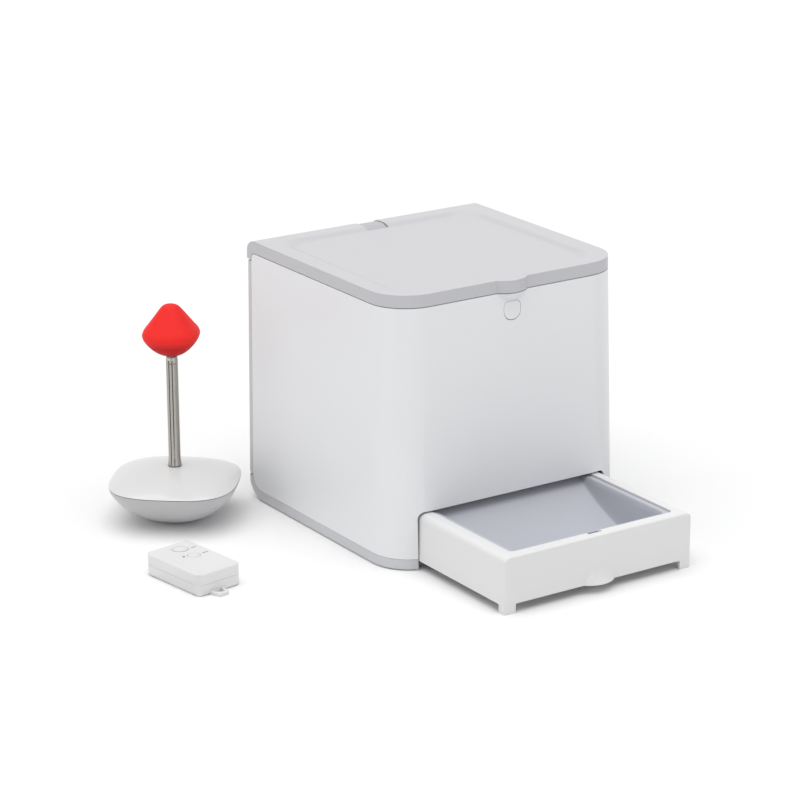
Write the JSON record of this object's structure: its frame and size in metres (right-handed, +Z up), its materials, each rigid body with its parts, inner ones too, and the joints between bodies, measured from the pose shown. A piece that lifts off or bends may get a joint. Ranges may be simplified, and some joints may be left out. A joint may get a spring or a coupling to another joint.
{
  "type": "remote treat dispenser",
  "caption": "Square hopper box with a hinged lid and a slide-out treat tray that a hand remote triggers, with a telescoping target wand on its own base.",
  "frame": {"origin": "centre of the dispenser's flat underside, on the table", "axes": "+Z up; -Y out of the dispenser's front, the way the tray slides out; +X to the right for someone who faces the front"},
  "size_m": [0.3846, 0.3885, 0.222],
  "materials": {
    "shell_white": "fine satin moulding",
    "trim_grey": "fine satin moulding",
    "lid_grey": "fine satin moulding",
    "tray_white": "semi-gloss moulding",
    "bowl_grey": "satin moulding",
    "inner_plastic": "plain moulding",
    "dark_plastic": "plain moulding",
    "soft_rubber": "matt",
    "red_silicone": "soft matt",
    "steel": "drawn",
    "gear_plastic": "natural nylon",
    "board": "coated laminate",
    "window": "polished",
    "cell_jacket": "printed foil, left plain"
  },
  "bodies": {
    "case": {"base_pan": "trim_grey", "shell": "shell_white", "hinge_knuckle": "lid_grey", "hinge_pin": "steel", "rear_cover": "trim_grey", "display_window": "window", "speaker": "dark_plastic", "control_board": "board", "battery_box": "dark_plastic", "contact_plate_left": "steel", "contact_plate_right": "steel", "hopper": "bowl_grey", "rotor_pan": "inner_plastic", "drop_guard": "inner_plastic", "gearbox_plate": "inner_plastic", "gear_motor": "steel", "drop_chute": "inner_plastic", "tray_rail_left": "inner_plastic", "tray_rail_right": "inner_plastic", "rubber_foot_1": "soft_rubber", "base_screw_1": "steel", "battery_cell_1": "cell_jacket", "rubber_foot_2": "soft_rubber", "base_screw_2": "steel", "battery_cell_2": "cell_jacket", "rubber_foot_3": "soft_rubber", "base_screw_3": "steel", "battery_cell_3": "cell_jacket", "rubber_foot_4": "soft_rubber", "base_screw_4": "steel", "battery_cell_4": "cell_jacket"},
    "lid": {"lid": "lid_grey", "lid_seal": "soft_rubber"},
    "latch": {"latch_button": "shell_white"},
    "tray": {"treat_tray": "tray_white", "treat_bowl": "bowl_grey"},
    "rotor": {"dispensing_disc": "gear_plastic", "stirrer": "gear_plastic", "drive_shaft": "steel", "drive_gear": "gear_plastic"},
    "pinion": {"motor_pinion": "gear_plastic"},
    "battery_door": {"battery_door": "trim_grey"},
    "menu_button_1": {"menu_button_1": "soft_rubber"},
    "menu_button_2": {"menu_button_2": "soft_rubber"},
    "menu_button_3": {"menu_button_3": "soft_rubber"},
    "power_switch": {"power_switch": "dark_plastic"},
    "remote": {"remote_top_case": "tray_white", "remote_bottom_case": "tray_white", "remote_board": "board", "remote_coin_cell": "steel", "remote_cell_door": "tray_white"},
    "treat_button": {"remote_treat_button": "tray_white"},
    "tone_button": {"remote_tone_button": "tray_white"},
    "wand": {"wand_base_top": "tray_white", "wand_base_bottom": "trim_grey", "wand_weight": "steel", "wand_outer_tube": "steel"},
    "wand_middle": {"wand_middle_tube": "steel"},
    "wand_inner": {"wand_inner_rod": "steel", "wand_tip": "red_silicone"}
  },
  "joints": [
    {"name": "lid_hinge", "type": "hinge", "parent": "case", "child": "lid", "pos_m": [0, 0.1103, 0.2083], "axis": [-1, 0, 0], "range_deg": [0, 95]},
    {"name": "latch_press", "type": "hinge", "parent": "case", "child": "latch", "pos_m": [0, -0.10107, 0.202], "axis": [1, 0, 0], "range_deg": [0, 5], "stiffness_Nm_per_rad": 0.01},
    {"name": "tray_slide", "type": "slide", "parent": "case", "child": "tray", "axis": [0, -1, 0], "range_m": [-0.1108, 0]},
    {"name": "rotor_spin", "type": "hinge", "parent": "case", "child": "rotor", "pos_m": [0, -0.02, 0.09], "axis": [0, 0, 1], "continuous": true},
    {"name": "pinion_spin", "type": "hinge", "parent": "case", "child": "pinion", "pos_m": [0, 0.0175, 0.0745], "axis": [0, 0, 1], "continuous": true},
    {"name": "battery_door_hinge", "type": "hinge", "parent": "case", "child": "battery_door", "pos_m": [0, 0.112, 0.0255], "axis": [-1, 0, 0], "range_deg": [0, 90]},
    {"name": "menu_press_1", "type": "slide", "parent": "case", "child": "menu_button_1", "axis": [0, -1, 0], "range_m": [0, 0.001], "stiffness_N_per_m": 300},
    {"name": "menu_press_2", "type": "slide", "parent": "case", "child": "menu_button_2", "axis": [0, -1, 0], "range_m": [0, 0.001], "stiffness_N_per_m": 300},
    {"name": "menu_press_3", "type": "slide", "parent": "case", "child": "menu_button_3", "axis": [0, -1, 0], "range_m": [0, 0.001], "stiffness_N_per_m": 300},
    {"name": "power_slide", "type": "slide", "parent": "case", "child": "power_switch", "axis": [1, 0, 0], "range_m": [0, 0.004]},
    {"name": "remote_lift", "type": "slide", "parent": "case", "child": "remote", "axis": [0, 0, 1], "range_m": [0, 0.1]},
    {"name": "treat_press", "type": "slide", "parent": "remote", "child": "treat_button", "axis": [0, 0, -1], "range_m": [0, 0.0008], "stiffness_N_per_m": 300},
    {"name": "tone_press", "type": "slide", "parent": "remote", "child": "tone_button", "axis": [0, 0, -1], "range_m": [0, 0.0008], "stiffness_N_per_m": 300},
    {"name": "wand_lift", "type": "slide", "parent": "case", "child": "wand", "axis": [0, 0, 1], "range_m": [0, 0.1]},
    {"name": "wand_middle_slide", "type": "slide", "parent": "wand", "child": "wand_middle", "axis": [0, 0, 1], "range_m": [0, 0.085]},
    {"name": "wand_inner_slide", "type": "slide", "parent": "wand_middle", "child": "wand_inner", "axis": [0, 0, 1], "range_m": [0, 0.085]}
  ],
  "couplings": [
    {"joint": "pinion_spin", "follows": "rotor_spin", "ratio": -2.5714}
  ]
}
